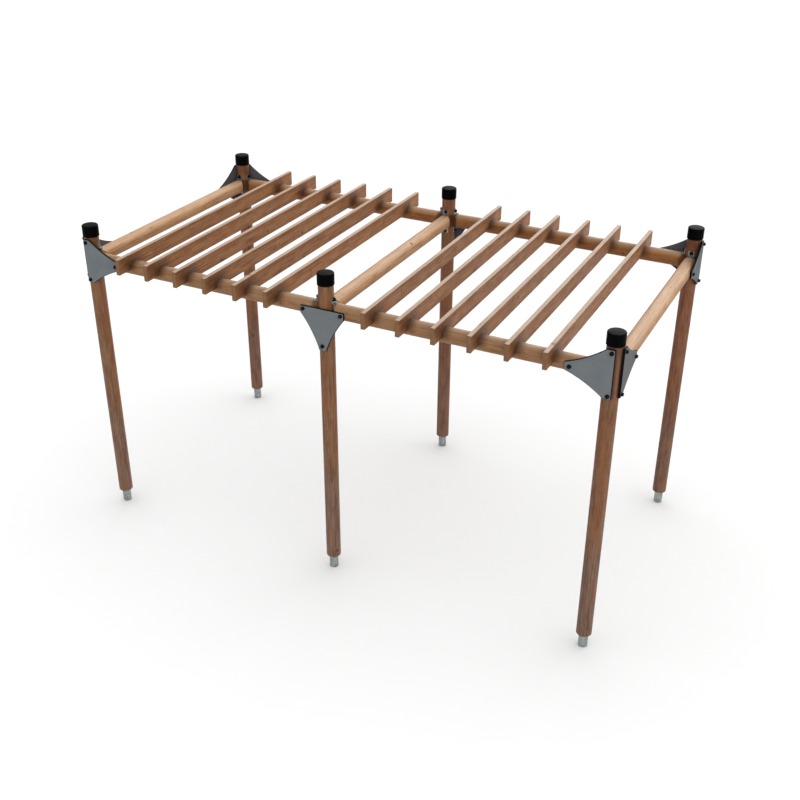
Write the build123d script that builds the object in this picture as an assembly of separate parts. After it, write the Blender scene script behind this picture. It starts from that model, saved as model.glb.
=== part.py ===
"""Free-standing timber pergola: six round posts, round beams and two bays of shade rafters.

Frame: millimetres, +Z up, origin on the ground at the middle of the footprint.
The long side runs along X, the depth along Y, and the front row stands at -Y.
"""
import os

from build123d import *

# Driving dimensions: the grid
bay_length = 2200          # post centre to post centre along X
bay_depth = 2200           # front row to back row, centre to centre
beam_height = 2380         # centre line of every beam above the ground
pole_diameter = 120        # posts and beams are one stock, so a flat plate lies on both

# Posts, feet and caps
post_end_round = 8         # eased lower edge of a post
foot_diameter = 73         # galvanised tube under each post
foot_wall = 3.2
foot_height = 120          # bare tube between the ground and the timber
foot_embed = 160           # tube let up into the post
foot_base = 6              # disc that closes the tube at the ground
foot_clearance = 0.5       # round the tube in its bore
cap_height = 95
cap_wall = 5.5
cap_clearance = 0.5
cap_top = 6                # thickness of the cap over the post's end grain
cap_crown = 4              # rise of the domed top
cap_edge_round = 9
cap_gap = 14               # from the upper corners of the plates to the rim of the cap

# Beams: round poles, bevelled to a blunt point at each end and hollowed to seat on the post
point_setback = 45         # from a post's centre line to where the bevels of a beam's end would meet

# Rafters: planks on edge, notched over the front and back beams
rafter_thickness = 34
rafter_height = 130
rafter_overhang = 200      # beyond the beam centre line, front and back
rafters_per_bay = 6
rafter_end_space = 412.5   # from a post's centre line to the nearest rafter's
rafter_edge_ease = 2       # bevel along the four long edges

# Triangular plates with hollow sides, cut from plastic board
plate_thickness = 15
plate_edge_round = 5       # routed edge of the outer face
plate_bolt_rise = 160      # each bolt of the long side from the middle
plate_bolt_reach = 280     # tip bolt from the line of the other two
plate_side_margin = 24     # board beyond the pair of bolts, on the long side
plate_end_margin = 26      # board beyond each of the pair, at its end
plate_tip_margin = 40      # board beyond the tip bolt
plate_pad = 58             # straight end of the two long-side corners
plate_tip_width = 60
plate_hollow = 15          # how far the slanting sides bow in
plate_corner_round = 10
bolt_hole = 12

# Angle brackets over and under each beam end
angle_rise = 44            # leg on the post
angle_reach = 32           # leg on the beam
angle_width = 50
angle_thickness = 4
angle_bend = 5             # inside radius of the bend
angle_bolt_rise = 28       # hole centres from the corner, on the post and on the beam
angle_screw_reach = 20
angle_corner_round = 6
screw_hole = 9

# Worked out from the above
pole_radius = pole_diameter / 2
foot_radius = foot_diameter / 2
cap_underside = beam_height + plate_bolt_rise + plate_end_margin + cap_gap
post_top = cap_underside + cap_height - cap_top
rafter_spacing = (bay_length - 2 * rafter_end_space) / (rafters_per_bay - 1)
cutter_length = 2 * pole_diameter      # passes right through any piece that is drilled or notched
front = -bay_depth / 2
back = bay_depth / 2
rows = {"front": front, "back": back}
columns = {"left": -bay_length, "middle": 0, "right": bay_length}
bay_centres = {"left": -bay_length / 2, "right": bay_length / 2}
up = Vector(0, 0, 1)
along = Vector(1, 0, 0)
inward = Vector(0, 1, 0)

nodes = {}


def post():
    """Round pole with an eased lower edge, bored for its foot tube and standing on the bore's end."""
    height = post_top - foot_height
    pole = Pos(0, 0, foot_height + height / 2) * Cylinder(pole_radius, height)
    lower_rim = pole.edges().filter_by(GeomType.CIRCLE).sort_by(Axis.Z)[0]
    pole = fillet(lower_rim, post_end_round)
    bore = Cylinder(foot_radius + foot_clearance, foot_embed)
    return pole - Pos(0, 0, foot_height + foot_embed / 2) * bore


def foot():
    """Galvanised tube from the ground up into the post, closed by a disc at the ground."""
    length = foot_height + foot_embed
    tube = Pos(0, 0, length / 2) * Cylinder(foot_radius, length)
    hollow = length - foot_base
    return tube - Pos(0, 0, foot_base + hollow / 2) * Cylinder(foot_radius - foot_wall, hollow)


def cap():
    """Moulded cap: a turned shell with a rounded shoulder and a low dome."""
    inner = pole_radius + cap_clearance
    outer = inner + cap_wall
    top = cap_underside + cap_height
    shoulder = top - cap_crown
    walls = Polyline((0, top), (0, post_top), (inner, post_top), (inner, cap_underside),
                     (outer, cap_underside), (outer, shoulder))
    dome = TangentArc((0, top), (outer, shoulder), tangent=(1, 0))
    profile = make_face(Curve([walls, dome]))
    corner = profile.vertices().filter_by_position(Axis.X, outer, outer).sort_by(Axis.Y)[-1]
    profile = fillet(corner, cap_edge_round)
    return revolve(Plane.XZ * profile, Axis.Z)


def beam(span):
    """Round pole along X between two posts, with both cheeks of each end bevelled at 45 degrees.

    The bevels leave room for the beams that meet at the same post, and the blunt point between
    them is hollowed to the curve of the post.
    """
    half = span / 2
    point = half - point_setback
    shoulder = point - pole_radius
    plan = Polyline((point, 0), (shoulder, pole_radius), (-shoulder, pole_radius),
                    (-point, 0), (-shoulder, -pole_radius), (shoulder, -pole_radius), close=True)
    outline = extrude(make_face(plan), amount=pole_radius, both=True)
    pole = Rot(0, 90, 0) * Cylinder(pole_radius, span) & outline
    for end in (-half, half):
        pole = pole - Pos(end, 0, 0) * Cylinder(pole_radius, cutter_length)
    return pole


def rafter():
    """Plank on edge along Y, with a half-round notch over each beam."""
    length = bay_depth + 2 * rafter_overhang
    plank = Pos(0, 0, rafter_height / 2) * Box(rafter_thickness, length, rafter_height)
    plank = chamfer(plank.edges().filter_by(Axis.Y), rafter_edge_ease)
    for y in (front, back):
        plank = plank - Pos(0, y, 0) * Rot(0, 90, 0) * Cylinder(pole_radius, cutter_length)
    return plank


def plate_outline():
    """Long side on local Y, tip towards local X, origin where beam and post centre lines cross."""
    side = -plate_side_margin
    end = plate_bolt_rise + plate_end_margin
    pad = side + plate_pad
    tip = plate_bolt_reach + plate_tip_margin
    half_tip = plate_tip_width / 2
    upper = SagittaArc((pad, end), (tip, half_tip), -plate_hollow)
    lower = SagittaArc((tip, -half_tip), (pad, -end), -plate_hollow)
    edges = [Line((side, -end), (side, end)), Line((side, end), (pad, end)), upper,
             Line((tip, half_tip), (tip, -half_tip)), lower, Line((pad, -end), (side, -end))]
    outline = make_face(Curve(edges))
    outline = fillet(outline.vertices(), plate_corner_round)
    for x, y in ((0, plate_bolt_rise), (0, -plate_bolt_rise), (plate_bolt_reach, 0)):
        outline = outline - Pos(x, y) * Circle(bolt_hole / 2)
    return outline


def plate(place, reach, facing):
    """Plate flat against the outer side of the post and beams at place, its tip towards reach."""
    board = extrude(plate_outline(), amount=plate_thickness)
    outer_rim = board.faces().sort_by(Axis.Z)[-1].outer_wire().edges()
    board = fillet(outer_rim, plate_edge_round)
    seat = Plane(origin=place + facing * pole_radius, x_dir=reach, z_dir=facing)
    return seat * board


def angle_bracket(place, reach, lift):
    """Bent angle in the corner between a post and the crest, or underside, of a beam."""
    corner = place + reach * pole_radius + lift * pole_radius
    inside = angle_thickness + angle_bend
    across = reach.cross(lift)
    path = [Line((0, 0), (angle_reach, 0)), Line((angle_reach, 0), (angle_reach, angle_thickness)),
            Line((angle_reach, angle_thickness), (inside, angle_thickness)),
            RadiusArc((inside, angle_thickness), (angle_thickness, inside), angle_bend),
            Line((angle_thickness, inside), (angle_thickness, angle_rise)),
            Line((angle_thickness, angle_rise), (0, angle_rise)), Line((0, angle_rise), (0, 0))]
    seat = Plane(origin=corner, x_dir=reach, z_dir=across)
    angle = extrude(seat * make_face(Curve(path)), amount=angle_width / 2, both=True)
    leg_corners = angle.edges().filter_by(lambda edge: abs(edge.length - angle_thickness) < 0.001)
    angle = fillet(leg_corners, angle_corner_round)
    on_post = Plane(origin=corner + lift * angle_bolt_rise, z_dir=reach)
    on_beam = Plane(origin=corner + reach * angle_screw_reach, z_dir=lift)
    angle = angle - on_post * Cylinder(bolt_hole / 2, angle_width)
    return angle - on_beam * Cylinder(screw_hole / 2, angle_width)


def keep(name, *solids):
    """File the solids of one named node."""
    nodes[name] = solids[0] if len(solids) == 1 else Compound(children=list(solids))


def joint_at(x, y):
    """Where the centre lines of a post and its beams cross."""
    return Vector(x, y, beam_height)


# Posts with their feet and caps, and the plates and brackets on each
for row, y in rows.items():
    outward = -inward if row == "front" else inward
    angles = []
    for column, x in columns.items():
        name = f"{row}_{column}"
        keep(f"{name}_post", Pos(x, y, 0) * post())
        keep(f"{name}_foot", Pos(x, y, 0) * foot())
        keep(f"{name}_cap", Pos(x, y, 0) * cap())

        place = joint_at(x, y)
        reaches = [-outward]
        if column != "left":
            reaches.append(-along)
        if column != "right":
            reaches.append(along)
        for reach in reaches:
            angles.append(angle_bracket(place, reach, up))
            angles.append(angle_bracket(place, reach, -up))

        if column == "middle":
            keep(f"{name}_plate", plate(place, -up, outward))
        else:
            side = along if column == "right" else -along
            keep(f"{name}_plates", plate(place, -side, outward), plate(place, -outward, side))
    keep(f"{row}_angle_brackets", *angles)

# Beams: four along the long sides, three across
for row, y in rows.items():
    for column, x in bay_centres.items():
        keep(f"{row}_{column}_beam", Pos(x, y, beam_height) * beam(bay_length))
for column, x in columns.items():
    keep(f"{column}_cross_beam", Pos(x, 0, beam_height) * Rot(0, 0, 90) * beam(bay_depth))

# Rafters, numbered from the left, their lower edges level with the beams' centre lines
number = 0
for bay_centre in bay_centres.values():
    first = bay_centre - rafter_spacing * (rafters_per_bay - 1) / 2
    for i in range(rafters_per_bay):
        number += 1
        x = first + i * rafter_spacing
        keep(f"rafter_{number:02d}", Pos(x, 0, beam_height) * rafter())

os.makedirs("parts", exist_ok=True)
for name, shape in nodes.items():
    shape.label = name
    export_step(shape, f"parts/{name}.step")
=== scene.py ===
"""Looks of a free-standing timber pergola, dressed round its packed construction.

Frame: metres, +Z up, origin on the ground at the middle of the footprint, front row at -Y.
Timber, steel and plastic parts come from the frame and get their finishes here. The bolt covers,
coach screws and rafter screws, which the construction leaves out, are modelled here.
"""
import math

import bmesh
import bpy
from mathutils import Matrix, Vector


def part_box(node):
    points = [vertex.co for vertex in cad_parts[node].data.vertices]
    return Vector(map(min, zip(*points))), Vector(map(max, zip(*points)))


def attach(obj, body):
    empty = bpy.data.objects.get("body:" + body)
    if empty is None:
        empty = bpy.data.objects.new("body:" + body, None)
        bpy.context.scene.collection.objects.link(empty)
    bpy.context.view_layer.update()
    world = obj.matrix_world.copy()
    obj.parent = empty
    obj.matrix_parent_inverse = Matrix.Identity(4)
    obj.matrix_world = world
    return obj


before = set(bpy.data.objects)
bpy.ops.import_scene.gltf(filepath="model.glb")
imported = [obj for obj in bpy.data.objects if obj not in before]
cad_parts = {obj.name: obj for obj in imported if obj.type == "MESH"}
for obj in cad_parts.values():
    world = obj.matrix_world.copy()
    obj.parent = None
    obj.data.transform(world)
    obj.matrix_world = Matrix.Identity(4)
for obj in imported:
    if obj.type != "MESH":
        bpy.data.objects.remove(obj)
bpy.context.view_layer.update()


# ---------------------------------------------------------------- sizes from the frame, in metres
def middle_of(node):
    """Centre of a construction node's box."""
    low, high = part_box(node)
    return (low + high) / 2


def size_of(node):
    """Edge lengths of a construction node's box."""
    low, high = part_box(node)
    return high - low


corner_post = middle_of("front_right_post")
beam_height = middle_of("front_right_beam").z
pole_radius = size_of("front_right_beam").z / 2
bay_length = corner_post.x
bay_depth = -2 * corner_post.y
rafter_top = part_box("rafter_07")[1].z
first_rafter = middle_of("rafter_07").x
rafter_pitch = middle_of("rafter_08").x - first_rafter
rafter_count = sum(name.startswith("rafter_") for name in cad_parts)

# The bolts of the plates and brackets, as the construction drills them
plate_thickness = size_of("front_middle_plate").y
plate_bolt_rise = 0.160        # each bolt of the long side from the middle
plate_bolt_reach = 0.280       # tip bolt from the line of the other two
bracket_thickness = 0.004
bracket_bolt_rise = 0.028      # hole centres from the corner, on the post and on the beam
bracket_screw_reach = 0.020

rows = {"front": -bay_depth / 2, "back": bay_depth / 2}
columns = {"left": -bay_length, "middle": 0.0, "right": bay_length}
up = Vector((0, 0, 1))
along = Vector((1, 0, 0))
inward = Vector((0, 1, 0))


# ---------------------------------------------------------------- shader helpers
def paint(hex_code):
    """An sRGB hex colour as linear RGBA."""
    shares = [int(hex_code[i:i + 2], 16) / 255 for i in (1, 3, 5)]
    return [s / 12.92 if s <= 0.04045 else ((s + 0.055) / 1.055) ** 2.4 for s in shares] + [1.0]


def add(tree, kind, links=(), **settings):
    """Add a shader node: settings by name, its inputs in use set or linked by number or by name."""
    made = tree.nodes.new("ShaderNode" + kind)
    for name, value in settings.items():
        setattr(made, name, value)
    used = [socket for socket in made.inputs if socket.enabled]
    for key, value in dict(links).items():
        socket = used[key] if isinstance(key, int) else next(s for s in used if s.name == key)
        if isinstance(value, bpy.types.Node):
            value = next(s for s in value.outputs if s.enabled)
        if isinstance(value, bpy.types.NodeSocket):
            tree.links.new(value, socket)
        else:
            socket.default_value = value
    return made


def new_finish(name):
    """An empty material with its node tree."""
    finish = bpy.data.materials.new(name)
    finish.use_nodes = True
    finish.node_tree.nodes.clear()
    return finish, finish.node_tree


# Settings of a Map Range that eases in and out. Its inputs by number: the value, where its fade
# starts and ends, and the results at the start and the end, which are 0 and 1 where none are given.
eased = {"interpolation_type": "SMOOTHSTEP"}


# ---------------------------------------------------------------- timber
alone = 100            # pitch of a piece that has no neighbour that way: far beyond the pergola

# Painted shade: the dark tone laid on the timber in recesses, over the beams and beside the rafters
painted_shade_tone = paint("#3A1B0A")
warm_heartwood = paint("#A8683A")
weathered_end = paint("#8E7058")
knot_rim_tone = paint("#4A2A16")
knot_core_tone = paint("#6E4022")
crack_tone = paint("#3A2011")


def along_fibre(tree, fibre):
    """Position with the fibre as its third axis, share of end grain, and how far the face looks up."""
    order = {"x": (1, 2, 0), "y": (0, 2, 1), "z": (0, 1, 2)}[fibre]
    place = add(tree, "SeparateXYZ", {0: add(tree, "TexCoord").outputs["Object"]})
    reordered = add(tree, "CombineXYZ", {i: place.outputs[axis] for i, axis in enumerate(order)})
    normal = add(tree, "SeparateXYZ", {0: add(tree, "NewGeometry").outputs["Normal"]})
    facing = add(tree, "Math", {0: normal.outputs[order[2]]}, operation="ABSOLUTE")

    # End grain shows as a face turns square to the fibre, from about 57 degrees off it to 18
    end_grain = add(tree, "MapRange", {0: facing, 1: 0.55, 2: 0.95}, **eased)
    return reordered, end_grain, normal.outputs[2]


def stretched(tree, place, across, length, detail=3.0, roughness=0.55):
    """Noise whose grains are across by length millimetres, the length along the fibre."""
    scale = (1000 / across, 1000 / across, 1000 / length)
    scaled = add(tree, "VectorMath", {0: place, 1: scale}, operation="MULTIPLY")
    return add(tree, "TexNoise", {"Vector": scaled, "Scale": 1.0, "Detail": detail,
                                  "Roughness": roughness})


def growth_rings(tree, place, middle, pitch, pith, spread, gap, swirl):
    """Late wood of the annual rings, cut by the surface of each piece as a saw or lathe cuts them.

    middle and pitch say where the pieces lie across the fibre, so that each has a pith of its own
    near its middle, off by pith and, at random, by up to about spread. The rings lie gap apart and
    swing round the knots by swirl.
    """
    upper = (pitch[0] / 2, pitch[1] / 2, alone)
    lower = (-pitch[0] / 2, -pitch[1] / 2, -alone)
    centred = add(tree, "VectorMath", {0: place, 1: (*middle, 0)}, operation="SUBTRACT")
    within = add(tree, "VectorMath", {0: centred, 1: upper, 2: lower}, operation="WRAP")
    piece = add(tree, "VectorMath", {0: centred, 1: within}, operation="SUBTRACT")

    # Each piece draws a pith of its own, and the pith wanders a centimetre or so along the trunk
    chance = add(tree, "TexNoise", {"Vector": piece, "Scale": 3.7, "Detail": 0.0})
    chance_reach = 2.5 * spread
    drift = stretched(tree, place, 2500, 1300, detail=1.0)
    drift_reach = 0.05
    shifted = add(tree, "VectorMath", {0: within, 1: (*pith, 0)}, operation="ADD")
    for source, reach in ((chance, chance_reach), (drift, drift_reach)):
        colour = source.outputs["Color"]
        move = add(tree, "VectorMath", {0: colour, 1: (0.5, 0.5, 0.5)}, operation="SUBTRACT")
        sized = add(tree, "VectorMath", {0: move, 1: (reach, reach, 0)}, operation="MULTIPLY")
        shifted = add(tree, "VectorMath", {0: shifted, 1: sized}, operation="ADD")
    flat = add(tree, "VectorMath", {0: shifted, 1: (1, 1, 0)}, operation="MULTIPLY")
    radius = add(tree, "VectorMath", {0: flat}, operation="LENGTH").outputs["Value"]

    # Late wood darkens slowly through each year and ends sharply
    age = add(tree, "Math", {0: radius, 1: 1 / gap, 2: swirl}, operation="MULTIPLY_ADD")
    season = add(tree, "Math", {0: age}, operation="FRACT")
    summer = add(tree, "Math", {0: season, 1: 2.5}, operation="POWER")
    winter = add(tree, "MapRange", {0: season, 1: 1.0, 2: 0.8}, **eased)
    return add(tree, "Math", {0: summer, 1: winter}, operation="MULTIPLY")


def drying_checks(tree, place, end_grain):
    """Long thin cracks along the fibre, in some stretches only, as a trunk gets when it dries.

    A crack runs wherever a long soft noise crosses its middle.
    """
    lines = stretched(tree, place, 34, 900, detail=1.0)
    from_line = add(tree, "Math", {0: lines, 1: 0.5}, operation="SUBTRACT")
    distance = add(tree, "Math", {0: from_line}, operation="ABSOLUTE")
    thin = add(tree, "MapRange", {0: distance, 1: 0.011, 2: 0.004}, **eased)
    patches = stretched(tree, place, 160, 700, detail=0.0)
    stretches = add(tree, "MapRange", {0: patches, 1: 0.53, 2: 0.60}, **eased)
    some = add(tree, "Math", {0: thin, 1: stretches}, operation="MULTIPLY")
    side_only = add(tree, "Math", {0: 1.0, 1: end_grain}, operation="SUBTRACT")
    return add(tree, "Math", {0: some, 1: side_only}, operation="MULTIPLY")


def timber(name, fibre, middle, pitch, tones, mottle, sheen_and_bleach, pith=(0, 0), spread=0.010, painted_shade=None,
           splash=0.0):
    """Oiled softwood seen along its fibre: rings, fibres, stain, knots, drying checks and end grain.

    middle, pitch, pith and spread are those of growth_rings. tones are hex colours: deep, body,
    pale, and the paler upper faces, partly bleached by the sun and partly a painted sheen. mottle is
    how far the stain is blotched, bleach how far the upper faces are paled that way. wear adds
    painted shade in places of the piece's own: it takes the tree, the position and a soft noise, and
    gives a share. splash is the height up to which rain has washed upright pieces grey.
    """
    finish, tree = new_finish(name)
    deep, body, pale, top_sheen_and_weathering = [paint(tone) for tone in tones]
    place, end_grain, upward = along_fibre(tree, fibre)

    # Branch knots, each with a core in a dark rim, and rings that swing round it by two of their gaps
    knot_gap = 0.170
    core_radius = 0.009
    core_end = 0.014
    rim_radius = 0.013
    rim_end = 0.021
    swing_radius = 0.010
    swing_end = 0.060
    branch = add(tree, "TexVoronoi", {"Vector": place, "Scale": 1 / knot_gap, "Randomness": 1.0})
    from_knot = add(tree, "Math", {0: branch, 1: knot_gap}, operation="MULTIPLY")
    knot = add(tree, "MapRange", {0: from_knot, 1: core_end, 2: core_radius}, **eased)
    knot_rim = add(tree, "MapRange", {0: from_knot, 1: rim_end, 2: rim_radius}, **eased)
    swirl = add(tree, "MapRange", {0: from_knot, 1: swing_end, 2: swing_radius, 4: 2.0}, **eased)

    # Rings 5.5 mm wide and bundles of fibres 1.6 mm thick, both drawn coarser than the real ones, so
    # that they show, under streaks and soft clouds of stain
    ring_gap = 0.0055
    late_wood = growth_rings(tree, place, middle, pitch, pith, spread, ring_gap, swirl)
    fibres = stretched(tree, place, 1.6, 60, detail=2.0)
    streaks = stretched(tree, place, 11, 420)
    cloud = stretched(tree, place, 55, 150, detail=4.0, roughness=0.6)

    # The wood itself, from deep through body to pale, by its streaks, fibres and late wood
    streaked = add(tree, "Math", {0: streaks, 1: 0.62, 2: -0.02}, operation="MULTIPLY_ADD")
    fibred = add(tree, "Math", {0: fibres, 1: 0.30, 2: streaked}, operation="MULTIPLY_ADD")
    shade = add(tree, "Math", {0: late_wood, 1: -0.13, 2: fibred}, operation="MULTIPLY_ADD")
    past_deep = add(tree, "MapRange", {0: shade, 1: 0.26, 2: 0.42}, **eased)
    wood = add(tree, "Mix", {0: past_deep, 1: deep, 2: body}, data_type="RGBA")
    past_body = add(tree, "MapRange", {0: shade, 1: 0.44, 2: 0.60}, **eased)
    wood = add(tree, "Mix", {0: past_body, 1: wood, 2: pale}, data_type="RGBA")

    # Stain that took unevenly, and warm patches where heartwood comes through
    blotch = add(tree, "MapRange", {0: cloud, 1: 0.40, 2: 0.66, 4: mottle}, **eased)
    wood = add(tree, "Mix", {0: blotch, 1: wood, 2: deep}, data_type="RGBA")
    patches = stretched(tree, place, 80, 240, detail=2.0)
    warmth = add(tree, "MapRange", {0: patches, 1: 0.48, 2: 0.64, 4: 1.1 * mottle}, **eased)
    wood = add(tree, "Mix", {0: warmth, 1: wood, 2: warm_heartwood}, data_type="RGBA")

    # The rain-washed foot of an upright piece, up to a line that wanders with the clouds of stain
    if splash:
        wander = 0.5
        dry = splash + wander / 2
        washed = (splash + wander) / 2
        height = add(tree, "SeparateXYZ", {0: place}).outputs[2]
        ragged = add(tree, "Math", {0: cloud, 1: wander, 2: height}, operation="MULTIPLY_ADD")
        greyed = add(tree, "MapRange", {0: ragged, 1: dry, 2: washed, 3: 1.0, 4: 0.84}, **eased)
        dulled = add(tree, "MapRange", {0: ragged, 1: dry, 2: washed, 3: 1.0, 4: 0.92}, **eased)
        wood = add(tree, "HueSaturation", {"Saturation": greyed, "Value": dulled, "Color": wood})

    # Paler upper faces, partly bleached by the sun and partly a painted sheen, and painted shade in the
    # places that wear picks
    top_sheen_and_bleach = add(tree, "MapRange", {0: upward, 1: 0.35, 2: 0.90, 4: sheen_and_bleach}, **eased)
    wood = add(tree, "Mix", {0: top_sheen_and_bleach, 1: wood, 2: top_sheen_and_weathering}, data_type="RGBA")
    if painted_shade:
        sides = add(tree, "Math", {0: 1.0, 1: end_grain}, operation="SUBTRACT")
        shaded = add(tree, "Math", {0: painted_shade(tree, place, cloud), 1: sides}, operation="MULTIPLY")
        wood = add(tree, "Mix", {0: shaded, 1: wood, 2: painted_shade_tone}, data_type="RGBA")

    # Greyer end grain, knots and checks, each a share of its own tone
    check = drying_checks(tree, place, end_grain)
    for mark, share, tone in ((end_grain, 0.5, weathered_end), (knot_rim, 0.45, knot_rim_tone),
                              (knot, 0.55, knot_core_tone), (check, 0.4, crack_tone)):
        laid = add(tree, "Math", {0: mark, 1: share}, operation="MULTIPLY")
        wood = add(tree, "Mix", {0: laid, 1: wood, 2: tone}, data_type="RGBA")

    # Raised late wood and fibres under a thin satin oil, with the checks sunk in
    raised = add(tree, "Math", {0: late_wood, 1: 0.35, 2: fibres}, operation="MULTIPLY_ADD")
    sunk = add(tree, "Math", {0: check, 1: -3.0, 2: raised}, operation="MULTIPLY_ADD")
    relief = add(tree, "Bump", {"Height": sunk, "Strength": 0.5, "Distance": 0.0006})
    dull = add(tree, "Math", {0: cloud, 1: 0.25, 2: 0.42}, operation="MULTIPLY_ADD")
    surface = add(tree, "BsdfPrincipled", {"Base Color": wood, "Roughness": dull, "Normal": relief,
                                           "IOR": 1.48, "Specular IOR Level": 0.4})
    add(tree, "OutputMaterial", {"Surface": surface})
    return finish


def painted_shadow_on_rafters(tree, place, cloud):
    """Painted shade on the rafters: a shadow over the front beam and before the back one, and along
    their edges.
    """
    wander = 0.10              # how far the clouds of stain can move the lines that follow
    front_full = 0.04          # past the front beam's centre line
    front_end = 0.22
    slant_start = -0.12        # past a slanting line, which climbs outwards from that centre line
    slant_full = 0.03
    back_start = -0.16         # past the back beam's centre line
    back_full = -0.02
    back_turn = 0.04
    back_end = 0.12
    top_band = 0.065           # reach of the darker bands, down from the top and up from the foot
    foot_band = 0.045
    band_edge = 0.005
    spot = add(tree, "SeparateXYZ", {0: place})
    height = spot.outputs[1]
    uneven = add(tree, "Math", {0: cloud, 1: wander, 2: spot.outputs[2]}, operation="MULTIPLY_ADD")
    past_front = add(tree, "Math", {0: uneven, 1: bay_depth / 2}, operation="ADD")
    past_back = add(tree, "Math", {0: uneven, 1: bay_depth / 2}, operation="SUBTRACT")

    # Painted shadow over both beams, and more so lower down
    above_beam = add(tree, "Math", {0: height, 1: beam_height}, operation="SUBTRACT")
    slanting = add(tree, "Math", {0: past_front, 1: above_beam}, operation="ADD")
    inside = add(tree, "MapRange", {0: slanting, 1: slant_start, 2: slant_full, 3: 0.25}, **eased)
    before_end = add(tree, "MapRange", {0: past_front, 1: front_end, 2: front_full}, **eased)
    at_front = add(tree, "Math", {0: before_end, 1: inside}, operation="MULTIPLY")
    coming = add(tree, "MapRange", {0: past_back, 1: back_start, 2: back_full}, **eased)
    going = add(tree, "MapRange", {0: past_back, 1: back_end, 2: back_turn, 4: 0.9}, **eased)
    at_back = add(tree, "Math", {0: coming, 1: going}, operation="MULTIPLY")
    either = add(tree, "Math", {0: at_front, 1: at_back}, operation="ADD")
    low_down = add(tree, "MapRange", {0: height, 1: rafter_top + 0.02, 2: beam_height + 0.03,
                                      3: 0.45, 4: 0.85}, **eased)
    beam_shadow = add(tree, "Math", {0: either, 1: low_down}, operation="MULTIPLY")

    # Painted shade along the upper and lower edges of the sides, and hardly any on the top
    below_top = add(tree, "MapRange", {0: height, 1: rafter_top - top_band,
                                       2: rafter_top - band_edge, 4: 0.26}, **eased)
    above_foot = add(tree, "MapRange", {0: height, 1: beam_height + foot_band,
                                        2: beam_height + band_edge, 4: 0.18}, **eased)
    edges = add(tree, "Math", {0: below_top, 1: above_foot}, operation="ADD")
    darker = add(tree, "Math", {0: beam_shadow, 1: edges}, operation="MAXIMUM")
    off_top = add(tree, "MapRange", {0: height, 1: rafter_top, 2: rafter_top - 0.003, 3: 0.1}, **eased)
    return add(tree, "Math", {0: darker, 1: off_top}, operation="MULTIPLY")


def painted_shade_on_posts(tree, place, cloud):
    """Painted shade on the posts: on their inner side in the recess between the beams that meet there,
    and on a corner post beside the edges of its two plates; a corner post also darkens up towards the
    cap.
    """
    wander = 0.04              # how far the clouds of stain can move the ends of the recess
    recess_full = 0.060        # from the beams' centre line, up and down
    recess_end = 0.095
    plate_full = 0.175         # the same, for the strip between the plates
    plate_end = 0.200
    plate_edge = 0.025         # from the post's axis outwards
    strip_middle = 0.041
    head_start = 0.05          # from the beams' centre line up
    head_full = 0.16
    spot = add(tree, "SeparateXYZ", {0: place})
    above = add(tree, "Math", {0: spot.outputs[2], 1: beam_height}, operation="SUBTRACT")
    off = add(tree, "Math", {0: above}, operation="ABSOLUTE")

    # Painted shade on the inner side, in the recess between the beams
    normal = add(tree, "SeparateXYZ", {0: add(tree, "NewGeometry").outputs["Normal"]})
    side = add(tree, "Math", {0: spot.outputs[1]}, operation="SIGN")
    outward = add(tree, "Math", {0: side, 1: normal.outputs[1]}, operation="MULTIPLY")
    inner = add(tree, "MapRange", {0: outward, 1: -0.15, 2: -0.5}, **eased)
    edge = add(tree, "Math", {0: cloud, 1: wander, 2: off}, operation="MULTIPLY_ADD")
    level = add(tree, "MapRange", {0: edge, 1: recess_end, 2: recess_full, 4: 0.85}, **eased)
    recess = add(tree, "Math", {0: inner, 1: level}, operation="MULTIPLY")

    # Painted shade on the strip between the plates of a corner. past holds how far a place lies
    # outside the corner post's axis along X and along Y, and the smaller of them tells how near it is
    # to a plate's edge
    past = []
    for axis, line in ((0, bay_length), (1, bay_depth / 2)):
        from_middle = add(tree, "Math", {0: spot.outputs[axis]}, operation="ABSOLUTE")
        past.append(add(tree, "Math", {0: from_middle, 1: line}, operation="SUBTRACT"))
    nearer = add(tree, "Math", {0: past[0], 1: past[1]}, operation="MINIMUM")
    by_edge = add(tree, "MapRange", {0: nearer, 1: strip_middle, 2: plate_edge, 4: 0.8}, **eased)
    outside = add(tree, "MapRange", {0: nearer, 1: 0.010, 2: 0.020}, **eased)
    strip = add(tree, "Math", {0: by_edge, 1: outside}, operation="MULTIPLY")
    at_plates = add(tree, "MapRange", {0: off, 1: plate_end, 2: plate_full}, **eased)
    beside = add(tree, "Math", {0: strip, 1: at_plates}, operation="MULTIPLY")

    # The head of a corner post, up to its cap; corner is 0 on the middle posts
    corner = add(tree, "MapRange", {0: past[0], 1: -2 * pole_radius, 2: -0.08}, **eased)
    towards_cap = add(tree, "MapRange", {0: above, 1: head_start, 2: head_full, 4: 0.45}, **eased)
    head = add(tree, "Math", {0: corner, 1: towards_cap}, operation="MULTIPLY")
    outer = add(tree, "Math", {0: beside, 1: head}, operation="MAXIMUM")
    return add(tree, "Math", {0: recess, 1: outer}, operation="MAXIMUM")


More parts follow.
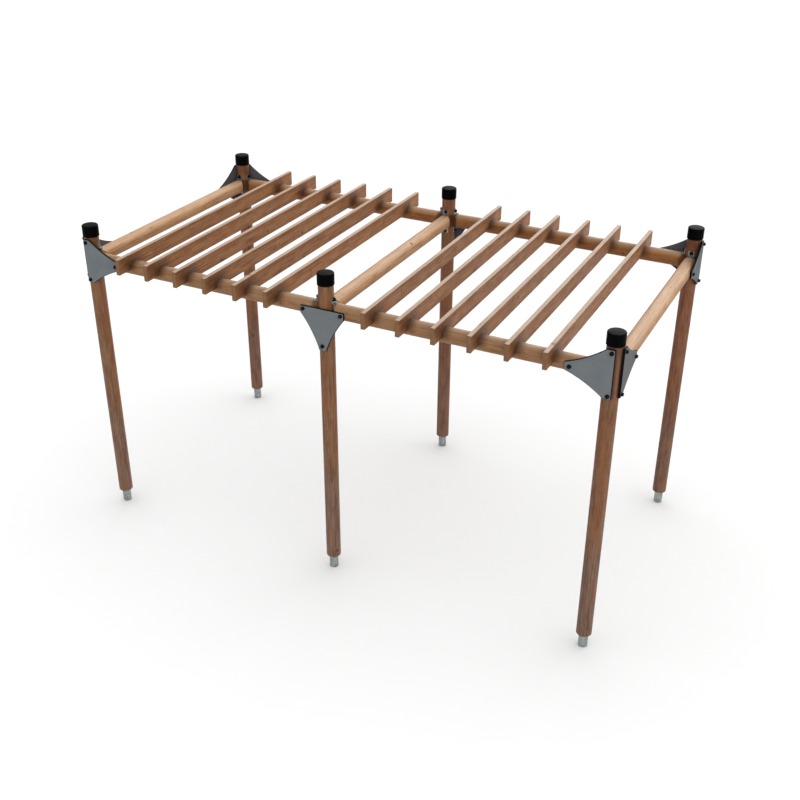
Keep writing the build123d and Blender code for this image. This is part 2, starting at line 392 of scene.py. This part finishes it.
def painted_shade_on_beams(tree, place, cloud):
    """Long beams get painted shade: on their bevelled ends in the same recess, and beside each rafter.
    """
    wander = 0.04              # how far the clouds of stain can move the ends of the recess
    recess_full = 0.095        # along the beam from a post's axis
    recess_end = 0.135
    seat_full = 0.012          # along the beam from a rafter's middle
    seat_end = 0.100
    clear_start = 0.25         # along the beam from a post's axis, where the first rafter may tell
    clear_full = 0.32
    spot = add(tree, "SeparateXYZ", {0: place})
    length = spot.outputs[2]
    from_post = add(tree, "Math", {0: length, 1: bay_length / 2}, operation="PINGPONG")
    edge = add(tree, "Math", {0: cloud, 1: wander, 2: from_post}, operation="MULTIPLY_ADD")
    recess = add(tree, "MapRange", {0: edge, 1: recess_end, 2: recess_full, 4: 0.7}, **eased)
    from_first = add(tree, "Math", {0: length, 1: first_rafter}, operation="SUBTRACT")
    from_rafter = add(tree, "Math", {0: from_first, 1: rafter_pitch / 2}, operation="PINGPONG")
    beside = add(tree, "MapRange", {0: from_rafter, 1: seat_end, 2: seat_full, 4: 0.8}, **eased)
    off_post = add(tree, "MapRange", {0: from_post, 1: clear_start, 2: clear_full}, **eased)
    among = add(tree, "Math", {0: beside, 1: off_post}, operation="MULTIPLY")
    upper = add(tree, "MapRange", {0: spot.outputs[1], 1: beam_height - 0.035,
                                   2: beam_height + 0.02}, **eased)
    crossing = add(tree, "Math", {0: among, 1: upper}, operation="MULTIPLY")
    return add(tree, "Math", {0: recess, 1: crossing}, operation="MAXIMUM")


# Where the pieces lie across their fibre: the middle of one, and the pitch to the next
post_grid = {"middle": (0, bay_depth / 2), "pitch": (bay_length, bay_depth)}
long_beam_grid = {"middle": (bay_depth / 2, beam_height), "pitch": (bay_depth, alone)}
cross_beam_grid = {"middle": (0, beam_height), "pitch": (bay_length, alone)}
rafter_grid = {"middle": (first_rafter, (beam_height + rafter_top) / 2), "pitch": (rafter_pitch, alone)}

# Round posts: lathe-turned larch under a red-brown oil, blotchy, with sapwood and heartwood mixed
posts = {"fibre": "z", **post_grid, "mottle": 0.45, "sheen_and_bleach": 0.2, "painted_shade": painted_shade_on_posts, "splash": 1.3}
front_post_finish = timber("oiled_turned_larch_front_posts",
                           tones=("#6F4429", "#9A6E4F", "#B58E69", "#BD9373"), **posts)
# The back posts get a darker copy of the front posts' finish: painted shade on the back row
shaded_back_post_finish = timber("oiled_turned_larch_back_posts_painted_shade",
                          tones=("#6B3D24", "#986446", "#B17F5C", "#B68A67"), **posts)

# Round beams: the same larch, cleaner and yellower, its fibres lying along the beam
front_beam_finish = timber("oiled_turned_larch_front_beams", "x", **long_beam_grid,
                           tones=("#99673F", "#C19166", "#CFA47C", "#B49A7E"),
                           mottle=0.20, sheen_and_bleach=0.40, painted_shade=painted_shade_on_beams)
# The back beams get a darker copy of the front beams' finish: painted shade on the back row
shaded_back_beam_finish = timber("oiled_turned_larch_back_beams_painted_shade", "x", **long_beam_grid,
                          tones=("#7C4719", "#A86A34", "#BC8850", "#DEC09A"),
                          mottle=0.25, sheen_and_bleach=0.40, painted_shade=painted_shade_on_beams)
cross_beam_finish = timber("oiled_turned_larch_cross_beams", "y", **cross_beam_grid,
                           tones=("#A06B40", "#CE9C6A", "#DEB386", "#DEBA98"),
                           mottle=0.20, sheen_and_bleach=0.45)

# Rafters: planed larch planks on edge, flat-sawn outside the pith, so long arches show on the sides
rafter_finish = timber("oiled_planed_larch_rafters", "y", **rafter_grid,
                       tones=("#7C4620", "#B47C4A", "#D09A68", "#CCB39A"),
                       mottle=0.40, sheen_and_bleach=0.75, pith=(0.07, 0.02), spread=0.035, painted_shade=painted_shadow_on_rafters)


# ---------------------------------------------------------------- metal and plastic
def galvanised_steel():
    """Hot-dip galvanised steel: a soft spangle of crystals 9 mm across, and a bloom of clouds 35 mm
    wide, darker on upper faces, partly weathering and partly painted shade that dims their reflection.
    """
    finish, tree = new_finish("hot_dip_galvanised_steel")
    place = add(tree, "TexCoord").outputs["Object"]
    spangle = add(tree, "TexVoronoi", {"Vector": place, "Scale": 1000 / 9})
    bloom = add(tree, "TexNoise", {"Vector": place, "Scale": 1000 / 35, "Detail": 4.0})
    crystal = add(tree, "SeparateColor", {0: spangle.outputs["Color"]})
    mixed = add(tree, "Math", {0: crystal, 1: 0.45, 2: bloom}, operation="MULTIPLY_ADD")
    bright = add(tree, "MapRange", {0: mixed, 1: 0.35, 2: 0.95}, **eased)
    zinc = add(tree, "Mix", {0: bright, 1: paint("#747B7C"), 2: paint("#A3A9A6")}, data_type="RGBA")
    # Upper faces darker: partly weathering, partly painted shade
    upward = add(tree, "SeparateXYZ", {0: add(tree, "NewGeometry").outputs["Normal"]}).outputs[2]
    weathered_and_shaded = add(tree, "MapRange", {0: upward, 1: 0.3, 2: 0.9, 4: 0.7}, **eased)
    zinc = add(tree, "Mix", {0: weathered_and_shaded, 1: zinc, 2: paint("#4E5050")}, data_type="RGBA")
    dull = add(tree, "Math", {0: crystal, 1: 0.16, 2: 0.40}, operation="MULTIPLY_ADD")
    relief = add(tree, "Bump", {"Height": bloom, "Strength": 0.25, "Distance": 0.0005})
    surface = add(tree, "BsdfPrincipled", {"Base Color": zinc, "Metallic": 1.0, "Roughness": dull,
                                           "Normal": relief})
    add(tree, "OutputMaterial", {"Surface": surface})
    return finish


def two_colour_board():
    """Extruded polyethylene board: a grey skin on the outer face, with a darker grey painted on the
    plates at the ends as painted shade, a dark skin on the back, and the black core on the edges. It is
    faintly hazed in clouds 90 mm wide, and its peel of 2.5 mm is coarser than the real one, so that it
    shows.
    """
    finish, tree = new_finish("two_colour_polyethylene_board")
    place = add(tree, "TexCoord").outputs["Object"]
    spot = add(tree, "SeparateXYZ", {0: place})
    normal = add(tree, "SeparateXYZ", {0: add(tree, "NewGeometry").outputs["Normal"]})

    # Which way each face looks: 1 outwards from the pergola and -1 inwards, on either plate
    outward = []
    for axis in (0, 1):
        side = add(tree, "Math", {0: spot.outputs[axis]}, operation="SIGN")
        outward.append(add(tree, "Math", {0: side, 1: normal.outputs[axis]}, operation="MULTIPLY"))
    from_middle = add(tree, "Math", {0: spot.outputs[0]}, operation="ABSOLUTE")
    end_line = bay_length + 0.8 * pole_radius
    on_end = add(tree, "Math", {0: from_middle, 1: end_line}, operation="GREATER_THAN")
    outer = add(tree, "Mix", {0: on_end, 1: outward[1], 2: outward[0]}, data_type="FLOAT")

    peel = add(tree, "TexNoise", {"Vector": place, "Scale": 1000 / 2.5, "Detail": 2.0})
    haze = add(tree, "TexNoise", {"Vector": place, "Scale": 1000 / 90, "Detail": 5.0, "Roughness": 0.6})
    hazy = add(tree, "MapRange", {0: haze, 1: 0.3, 2: 0.7}, **eased)
    grey = add(tree, "Mix", {0: hazy, 1: paint("#8F969B"), 2: paint("#979EA2")}, data_type="RGBA")
    # Painted shade: the plates at the ends get a darker grey
    end_plate_shade = add(tree, "Math", {0: on_end, 1: 0.85}, operation="MULTIPLY")
    grey = add(tree, "Mix", {0: end_plate_shade, 1: grey, 2: paint("#6A6C6E")}, data_type="RGBA")
    back = add(tree, "MapRange", {0: outer, 1: -0.93, 2: -0.985}, **eased)
    coat = add(tree, "Mix", {0: back, 1: paint("#101012"), 2: paint("#6A6A70")}, data_type="RGBA")
    face = add(tree, "MapRange", {0: outer, 1: 0.93, 2: 0.985}, **eased)
    coat = add(tree, "Mix", {0: face, 1: coat, 2: grey}, data_type="RGBA")
    dull = add(tree, "Math", {0: haze, 1: 0.2, 2: 0.40}, operation="MULTIPLY_ADD")
    relief = add(tree, "Bump", {"Height": peel, "Strength": 0.25, "Distance": 0.0004})
    surface = add(tree, "BsdfPrincipled", {"Base Color": coat, "Roughness": dull, "Normal": relief,
                                           "IOR": 1.5, "Specular IOR Level": 0.05})
    add(tree, "OutputMaterial", {"Surface": surface})
    return finish


def moulded_plastic(name, grit, dullness, sheen):
    """Black injection-moulded plastic: dusty in clouds 45 mm wide, greyer on top, partly sun and dust
    and partly a painted sheen, with the texture of its mould, whose grains are grit millimetres across.
    """
    finish, tree = new_finish(name)
    place = add(tree, "TexCoord").outputs["Object"]
    texture = add(tree, "TexNoise", {"Vector": place, "Scale": 1000 / grit, "Detail": 3.0})
    dust = add(tree, "TexNoise", {"Vector": place, "Scale": 1000 / 45, "Detail": 5.0,
                                  "Roughness": 0.65})
    dusty = add(tree, "MapRange", {0: dust, 1: 0.35, 2: 0.75}, **eased)
    black = add(tree, "Mix", {0: dusty, 1: paint("#070708"), 2: paint("#0C0C0D")}, data_type="RGBA")
    # Greyer upper faces: partly sun and dust, partly a painted sheen
    upward = add(tree, "SeparateXYZ", {0: add(tree, "NewGeometry").outputs["Normal"]}).outputs[2]
    top_sheen_and_weathering = add(tree, "MapRange", {0: upward, 1: 0.5, 2: 0.95}, **eased)
    black = add(tree, "Mix", {0: top_sheen_and_weathering, 1: black, 2: paint("#0F0F0F")}, data_type="RGBA")
    dull = add(tree, "Math", {0: dust, 1: 0.2, 2: dullness}, operation="MULTIPLY_ADD")
    relief = add(tree, "Bump", {"Height": texture, "Strength": 0.3, "Distance": 0.0004})
    surface = add(tree, "BsdfPrincipled", {"Base Color": black, "Roughness": dull, "Normal": relief,
                                           "IOR": 1.49, "Specular IOR Level": sheen})
    add(tree, "OutputMaterial", {"Surface": surface})
    return finish


zinc_finish = galvanised_steel()
plate_finish = two_colour_board()
# Post caps: matt, with a mould grit drawn at 2 mm, coarser than the real one, so that it shows
cap_finish = moulded_plastic("moulded_black_polypropylene_caps", grit=2.0, dullness=0.38, sheen=0.02)
# Bolt covers: a smoother mould, drawn at 1.2 mm, so that each dome holds a small highlight
cover_finish = moulded_plastic("moulded_black_nylon_bolt_covers", grit=1.2, dullness=0.22, sheen=0.10)

# The finish of each construction node, by how its name starts and ends; the first match counts
finishes = (("rafter_", "", rafter_finish),
            ("front_", "_post", front_post_finish), ("back_", "_post", shaded_back_post_finish),
            ("front_", "_beam", front_beam_finish), ("back_", "_beam", shaded_back_beam_finish),
            ("", "_cross_beam", cross_beam_finish), ("", "_cap", cap_finish),
            ("", "_plate", plate_finish), ("", "_plates", plate_finish),
            ("", "_foot", zinc_finish), ("", "_angle_brackets", zinc_finish))
for name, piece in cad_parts.items():
    finish = next(coat for start, end, coat in finishes
                  if name.startswith(start) and name.endswith(end))
    for slot in piece.material_slots:
        slot.material = finish


# ---------------------------------------------------------------- fixings
def seat(place, facing):
    """Matrix that stands a fixing at place with its axis along facing."""
    return Matrix.Translation(place) @ facing.to_track_quat("Z", "Y").to_matrix().to_4x4()


def turned(mesh, where, profile, sides):
    """Add a closed solid: profile points (radius, height) from the base up, ended by a flat top."""
    rings = []
    for radius, height in profile:
        ring = []
        for i in range(sides):
            turn = 2 * math.pi * i / sides
            point = Vector((radius * math.cos(turn), radius * math.sin(turn), height))
            ring.append(mesh.verts.new(where @ point))
        rings.append(ring)
    for lower, upper in zip(rings, rings[1:]):
        for i in range(sides):
            j = (i + 1) % sides
            mesh.faces.new((lower[i], lower[j], upper[j], upper[i]))
    mesh.faces.new(rings[0][::-1])
    mesh.faces.new(rings[-1])


def bolt_cover(mesh, where):
    """Cover over a bolt head: a flange under a hood with steep sides and a domed top, 18 mm high."""
    flange = 0.016
    lip = 0.003
    hood = 0.0138
    taper = 0.0008
    wall = 0.0095
    crown = 0.0055
    profile = [(flange, 0), (flange, lip - 0.0010), (flange - taper, lip),
               (hood + 0.0003, lip + 0.0002), (hood, lip + 0.0010), (hood - taper, lip + wall)]
    steps = 7
    for i in range(1, steps):
        turn = math.pi / 2 * i / steps
        profile.append(((hood - taper) * math.cos(turn) ** 0.7, lip + wall + crown * math.sin(turn)))
    turned(mesh, where, profile, sides=32)


def coach_screw(mesh, where):
    """Hexagon-headed wood screw on a washer, the head let into it a little, with a bevelled top."""
    washer = 0.0105
    corner = 0.0075
    turned(mesh, where, [(washer, 0), (washer, 0.0010), (washer - 0.0005, 0.0015)], sides=28)
    turned(mesh, where, [(corner, 0.0012), (corner, 0.0058), (corner * 0.86, 0.0068)], sides=6)


def countersunk_screw(mesh, where):
    """Flat head of a wood screw, let in nearly flush, with a sunk drive."""
    head = 0.0055
    drive = 0.0026
    proud = 0.0005
    profile = [(head, -0.0006), (head, 0.0002), (head - 0.0004, proud), (drive, proud),
               (drive - 0.0004, -0.0003)]
    turned(mesh, where, profile, sides=20)


def fixings(name, shape, seats, finish):
    """One piece made of a shape at each seat, riding on the standing frame."""
    mesh = bmesh.new()
    for where in seats:
        shape(mesh, where)
    data = bpy.data.meshes.new(name)
    mesh.to_mesh(data)
    mesh.free()
    for face in data.polygons:
        face.use_smooth = True
    data.set_sharp_from_angle(angle=math.radians(35))
    data.materials.append(finish)
    piece = bpy.data.objects.new(name, data)
    bpy.context.scene.collection.objects.link(piece)
    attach(piece, "root")


def plate_bolts(joint, reach, facing):
    """Seats of the covers on one plate: two on its long side and one at its tip."""
    across = reach.cross(facing)
    face = joint + facing * (pole_radius + plate_thickness)
    offsets = (across * plate_bolt_rise, -across * plate_bolt_rise, reach * plate_bolt_reach)
    return [seat(face + offset, facing) for offset in offsets]


for row, y in rows.items():
    outward = -inward if row == "front" else inward
    for column, x in columns.items():
        joint = Vector((x, y, beam_height))
        reaches = [-outward]
        if column != "left":
            reaches.append(-along)
        if column != "right":
            reaches.append(along)
        if column == "middle":
            covers = plate_bolts(joint, -up, outward)
        else:
            side = along if column == "right" else -along
            covers = plate_bolts(joint, -side, outward) + plate_bolts(joint, -outward, side)
        screws = []
        for reach in reaches:
            for lift in (up, -up):
                corner = joint + (reach + lift) * pole_radius
                on_post = corner + reach * bracket_thickness + lift * bracket_bolt_rise
                on_beam = corner + reach * bracket_screw_reach + lift * bracket_thickness
                covers.append(seat(on_post, reach))
                screws.append(seat(on_beam, lift))
        fixings(f"{row}_{column}_bolt_covers", bolt_cover, covers, cover_finish)
        fixings(f"{row}_{column}_coach_screws", coach_screw, screws, zinc_finish)

rafter_seats = []
for number in range(1, rafter_count + 1):
    x = middle_of(f"rafter_{number:02d}").x
    for y in rows.values():
        rafter_seats.append(seat(Vector((x, y, rafter_top)), up))
fixings("rafter_screws", countersunk_screw, rafter_seats, zinc_finish)


# ---------------------------------------------------------------- floor, light and camera
def seen_directly(tree):
    """1 for rays from the camera or off something shiny, which should meet a plain white studio."""
    rays = add(tree, "LightPath")
    direct = add(tree, "Math", {0: rays.outputs["Is Camera Ray"], 1: rays.outputs["Is Glossy Ray"]},
                 operation="MAXIMUM")
    return add(tree, "Math", {0: direct, 1: rays.outputs["Is Transmission Ray"]}, operation="MAXIMUM")


def studio_floor(radius, white, bounce):
    """Floor disc that looks white and keeps the object's soft shadow, and throws back little light."""
    mesh = bmesh.new()
    bmesh.ops.create_circle(mesh, cap_ends=True, segments=96, radius=radius)
    data = bpy.data.meshes.new("studio_floor")
    mesh.to_mesh(data)
    mesh.free()
    floor = bpy.data.objects.new("studio_floor", data)
    bpy.context.scene.collection.objects.link(floor)
    finish, tree = new_finish("matt_white_studio_floor")
    seen = seen_directly(tree)
    share = add(tree, "Mix", {0: seen, 1: (bounce, bounce, bounce, 1), 2: (white, white, white, 1)},
                data_type="RGBA")
    matt = add(tree, "BsdfDiffuse", {"Color": share})
    add(tree, "OutputMaterial", {"Surface": matt})
    data.materials.append(finish)
    return floor


def softbox(name, share, spread, azimuth, elevation, for_floor=False):
    """Distant soft lamp: share of full white on a face square to it, spread its width in degrees.

    Azimuth is counted from +X towards +Y, elevation from the horizon, both in degrees. The floor
    has a lamp of its own for its shadow, and the others light all but the floor.
    """
    data = bpy.data.lights.new(name, "SUN")
    data.energy = share * math.pi
    data.angle = math.radians(spread)
    lamp = bpy.data.objects.new(name, data)
    turn = math.radians(azimuth)
    rise = math.radians(elevation)
    level = Vector((math.cos(turn), math.sin(turn), 0))
    towards = level * math.cos(rise) + up * math.sin(rise)
    lamp.rotation_euler = towards.to_track_quat("Z", "Y").to_euler()
    bpy.context.scene.collection.objects.link(lamp)
    chosen = bpy.data.collections.new(name + "_receivers")
    chosen.objects.link(floor)
    if not for_floor:
        chosen.collection_objects[0].light_linking.link_state = "EXCLUDE"
    lamp.light_linking.receiver_collection = chosen


def studio_world(fill):
    """White all round to the eye, while the soft light that it gives the object is fill."""
    world = bpy.data.worlds.new("white_studio")
    world.use_nodes = True
    tree = world.node_tree
    tree.nodes.clear()
    soft = add(tree, "Background", {"Color": (1, 1, 1, 1), "Strength": fill})
    white = add(tree, "Background", {"Color": (1, 1, 1, 1), "Strength": 1.0})
    both = add(tree, "MixShader", {0: seen_directly(tree), 1: soft, 2: white})
    add(tree, "OutputWorld", {"Surface": both})
    bpy.context.scene.world = world


def eye(place, heading, dip, roll, lens):
    """Camera at place. Heading is from +Y towards +X, dip below the horizon, both in degrees."""
    data = bpy.data.cameras.new("camera")
    data.lens = lens
    data.sensor_width = 36
    data.clip_end = 200
    camera = bpy.data.objects.new("camera", data)
    headed = Matrix.Rotation(math.radians(-heading), 4, "Z")
    tipped = Matrix.Rotation(math.radians(90 - dip), 4, "X")
    rolled = Matrix.Rotation(math.radians(roll), 4, "Z")
    camera.matrix_world = Matrix.Translation(place) @ headed @ tipped @ rolled
    bpy.context.scene.collection.objects.link(camera)
    bpy.context.scene.camera = camera


floor = studio_floor(radius=40, white=0.62, bounce=0.18)
studio_world(fill=0.26)
softbox("back_softbox", share=0.85, spread=65, azimuth=84, elevation=28)
softbox("front_fill", share=0.33, spread=60, azimuth=305, elevation=30)
softbox("floor_softbox", share=1.5, spread=110, azimuth=83, elevation=80, for_floor=True)
eye(Vector((3.8206, -7.5470, 5.7554)), heading=-26.432, dip=29.047, roll=0.305, lens=49.37)
bpy.context.scene.view_settings.view_transform = "Standard"
